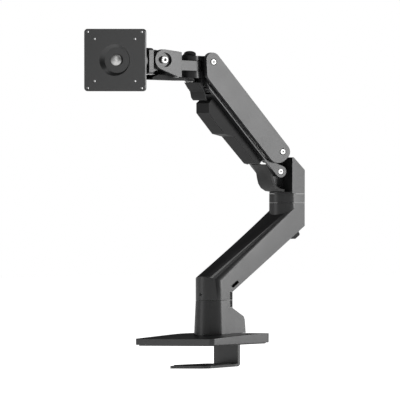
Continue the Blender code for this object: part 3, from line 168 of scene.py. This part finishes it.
def turned_metal(name, dark, light, roughness):
    """Plated or blackened steel with fine tool marks."""
    shader = Shader(name, roughness, 1.0)
    marks = shader.noise(900.0, 3.0, 0.6, (1.0, 0.12, 1.0))
    stain = shader.noise(160.0, 3.0, 0.6)
    shader.drive("Base Color", shader.blend(shader.spread(stain, 0.35, 0.7), dark, light))
    shader.drive("Roughness", roughness + shader.spread(marks, 0.35, 0.7) * 0.1)
    shader.bump(marks, 0.08, 0.00005)
    return shader.material


def soft_rubber(name, dark, light, roughness):
    """Matt rubber with a bloom of pale dust."""
    shader = Shader(name, roughness)
    pores = shader.noise(1200.0, 3.0, 0.6)
    bloom = shader.noise(60.0, 4.0, 0.65)
    shader.drive("Base Color", shader.blend(shader.spread(bloom, 0.4, 0.75), dark, light))
    shader.drive("Roughness", roughness + shader.spread(pores, 0.3, 0.7) * 0.1)
    shader.bump(pores, 0.3, 0.00012)
    return shader.material


finishes = {
    "coated_cast": powder_coat("coated_cast", (0.007, 0.0072, 0.0075), (0.012, 0.0123, 0.0127), 0.30),
    "coated_steel": powder_coat("coated_steel", (0.007, 0.0072, 0.0075), (0.011, 0.0113, 0.0117), 0.29),
    "black_plastic": moulded_plastic("black_plastic", (0.004, 0.004, 0.0042),
                                     (0.007, 0.007, 0.0073), 0.55),
    "bright_steel": turned_metal("bright_steel", (0.34, 0.34, 0.335), (0.46, 0.46, 0.455), 0.38),
    "dark_steel": turned_metal("dark_steel", (0.05, 0.05, 0.052), (0.12, 0.12, 0.12), 0.30),
    "rubber": soft_rubber("rubber", (0.010, 0.010, 0.010), (0.022, 0.022, 0.022), 0.72),
    "nylon": soft_rubber("nylon", (0.62, 0.61, 0.57), (0.76, 0.75, 0.71), 0.45),
}


# ---------------------------------------------------------------- pieces with eased edges
def only(piece):
    bpy.ops.object.select_all(action="DESELECT")
    piece.select_set(True)
    bpy.context.view_layer.objects.active = piece


def apply_modifier(piece, kind, **settings):
    only(piece)
    step = piece.modifiers.new(kind.lower(), kind)
    for key, value in settings.items():
        setattr(step, key, value)
    bpy.ops.object.modifier_apply(modifier=step.name)


MERGE = 0.004 * MM                 # points closer than this are one
FLAT = radians(0.4)                # faces within this angle are one flat face
SHARP = radians(30)                # edges over this angle are rounded
SMOOTH = radians(38)               # edges under this angle are shaded smooth
BEVEL_STEPS = 2


def eased(node, width):
    """A copy of a node's solid with its edges rounded over, standing for that node."""
    mesh = frame["nodes"][node].data.copy()
    piece = bpy.data.objects.new(node + "_finished", mesh)
    bpy.context.scene.collection.objects.link(piece)
    shape = bmesh.new()
    shape.from_mesh(mesh)
    bmesh.ops.remove_doubles(shape, verts=shape.verts, dist=MERGE)
    bmesh.ops.dissolve_degenerate(shape, edges=shape.edges, dist=MERGE)
    bmesh.ops.dissolve_limit(shape, angle_limit=FLAT, verts=shape.verts, edges=shape.edges)
    shape.to_mesh(mesh)
    shape.free()
    apply_modifier(piece, "BEVEL", width=width, segments=BEVEL_STEPS, limit_method="ANGLE",
                   angle_limit=SHARP, use_clamp_overlap=True, miter_outer="MITER_ARC")
    only(piece)
    bpy.ops.object.shade_smooth_by_angle(angle=SMOOTH)
    apply_modifier(piece, "WEIGHTED_NORMAL", keep_sharp=True)
    piece.data.materials.clear()
    piece.data.materials.append(finishes[slot_of_node[node]])
    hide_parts(node)
    return piece


EASE = {                           # width of the eased edge, in millimetres
    "base_plate": 1.2, "base_column": 0.6, "column_rear_cover": 0.5, "desk_pad": 0.3,
    "clamp_jaw": 0.5, "jaw_pad": 0.3, "lower_arm": 0.6, "arm_rear_cover": 0.4,
    "elbow_collar": 0.4, "lower_cable_cover": 0.3, "lower_cable_clip": 0.4,
    "elbow_knuckle": 0.5, "elbow_cable_boot": 0.4, "upper_arm_channel": 0.5,
    "side_cover_left": 0.45, "side_cover_right": 0.45, "arm_pivot_pin": 0.3,
    "head_pivot_pin": 0.3, "link_elbow_pin": 0.3, "link_head_pin": 0.3,
    "spring_cylinder": 0.5, "lower_link": 0.35, "cable_cover": 0.8, "tip_knuckle": 0.5,
    "tip_swivel_cap": 0.3, "tip_swivel_nut": 0.3, "tip_cable_guide": 0.5,
    "tilt_bracket": 0.6, "tilt_bolt": 0.2, "tilt_nut": 0.3, "head_cable_guide": 0.3,
    "tilt_hub": 0.6, "vesa_hub": 0.5, "vesa_plate": 0.5, "vesa_screw": 0.2,
}
for name, width in EASE.items():
    if name != FLEXIBLE:
        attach(eased(name, width * MM), body_of_node[name])
for name, thing in frame["nodes"].items():
    if name not in EASE or name == FLEXIBLE:
        thing.data.materials.clear()
        thing.data.materials.append(finishes[slot_of_node[name]])

# ---------------------------------------------------------------- flexible boot at the elbow
boot = eased(FLEXIBLE, EASE[FLEXIBLE] * MM)
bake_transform(boot)


# ---------------------------------------------------------------- studio
TURN = radians(46.33)              # from the arm's plane to the line of sight
NARROW = radians(41.31)            # lean of the picture's width, which stretches it sideways
PITCH = radians(0.21)
LEAN = radians(-1.54)
DISTANCE = 8.25
SIDEWAYS = -0.0166
EYE_HEIGHT = 0.2651
LENS = 404.8

FLOOR_SIZE = 12.0
FLOOR_DROP = 0.0005                # how far the floor lies below the lowest piece
AMBIENT = 0.05
AIM = Vector((0, 0, 0.27))         # the middle of the arm, which the panels face
PANELS = {                         # direction (right, level, up), distance, size, power
    "right_panel": ((1.0, 0.05, 0.1), 2.4, (0.8, 2.4), 55),
    "left_panel": ((-1.0, 0.25, 0.25), 2.6, (0.8, 1.8), 10),
    "top_panel": ((0.0, 0.4, 1.0), 2.4, (1.8, 1.2), 30),
}

right = Vector((-cos(TURN), sin(TURN), 0))
level = Vector((sin(TURN), cos(TURN), 0))
upright = Vector((0, 0, 1))
sight = level * cos(PITCH) + upright * sin(PITCH)
rise = upright * cos(PITCH) - level * sin(PITCH)


def make_camera():
    """The camera, held by an empty so that its picture is wider than it is tall by a third."""
    across = right * cos(NARROW) + sight * sin(NARROW)
    up = rise * cos(LEAN) + sight * sin(LEAN)
    columns = np.array([across, up, sight]).T
    outer, stretch, inner = np.linalg.svd(columns)
    if np.linalg.det(outer) < 0:
        outer[:, 2] *= -1
        inner[2] *= -1
    holder = bpy.data.objects.new("camera_holder", None)
    lens = bpy.data.cameras.new("camera")
    camera = bpy.data.objects.new("camera", lens)
    for thing in (holder, camera):
        bpy.context.scene.collection.objects.link(thing)
    holder.location = sight * DISTANCE + right * SIDEWAYS + rise * EYE_HEIGHT
    holder.rotation_euler = Matrix(outer.tolist()).to_euler()
    holder.scale = stretch.tolist()
    camera.parent = holder
    camera.rotation_euler = Matrix(inner.tolist()).to_euler()
    lens.sensor_fit = "HORIZONTAL"
    lens.sensor_width = 36.0
    lens.lens = LENS
    lens.clip_end = 100.0
    bpy.context.scene.camera = camera


def panel_light(name, direction, distance, size, power):
    light = bpy.data.lights.new(name, "AREA")
    light.shape = "RECTANGLE"
    light.size, light.size_y = size
    light.energy = power
    lamp = bpy.data.objects.new(name, light)
    bpy.context.scene.collection.objects.link(lamp)
    across, forward, up = direction
    towards = right * across + level * forward + upright * up
    lamp.location = AIM + towards.normalized() * distance
    lamp.rotation_euler = (lamp.location - AIM).to_track_quat("Z", "Y").to_euler()


def make_studio():
    bpy.ops.mesh.primitive_plane_add(size=FLOOR_SIZE, location=(0, 0, cad_box[0][2] - FLOOR_DROP))
    floor = bpy.context.object
    floor.name = "floor"
    paint = Shader("pale_floor", 0.9, Emission_Color=(1, 1, 1, 1), Emission_Strength=1.0)
    paint.drive("Base Color", paint.blend(paint.noise(3.0), (0.93, 0.93, 0.93), (0.96, 0.96, 0.96)))
    floor.data.materials.append(paint.material)
    world = bpy.data.worlds.new("studio")
    bpy.context.scene.world = world
    world.use_nodes = True
    tree = world.node_tree
    ambient = tree.nodes["Background"]
    ambient.inputs["Color"].default_value = (1, 1, 1, 1)
    ambient.inputs["Strength"].default_value = AMBIENT
    backdrop = tree.nodes.new("ShaderNodeBackground")
    backdrop.inputs["Color"].default_value = (1, 1, 1, 1)
    backdrop.inputs["Strength"].default_value = 1.0
    mix = tree.nodes.new("ShaderNodeMixShader")
    path = tree.nodes.new("ShaderNodeLightPath")
    tree.links.new(path.outputs["Is Camera Ray"], mix.inputs[0])
    tree.links.new(ambient.outputs[0], mix.inputs[1])
    tree.links.new(backdrop.outputs[0], mix.inputs[2])
    tree.links.new(mix.outputs[0], tree.nodes["World Output"].inputs["Surface"])
    for name, (direction, distance, size, power) in PANELS.items():
        panel_light(name, direction, distance, size, power)
    bpy.context.scene.view_settings.view_transform = "Standard"


make_camera()
make_studio()
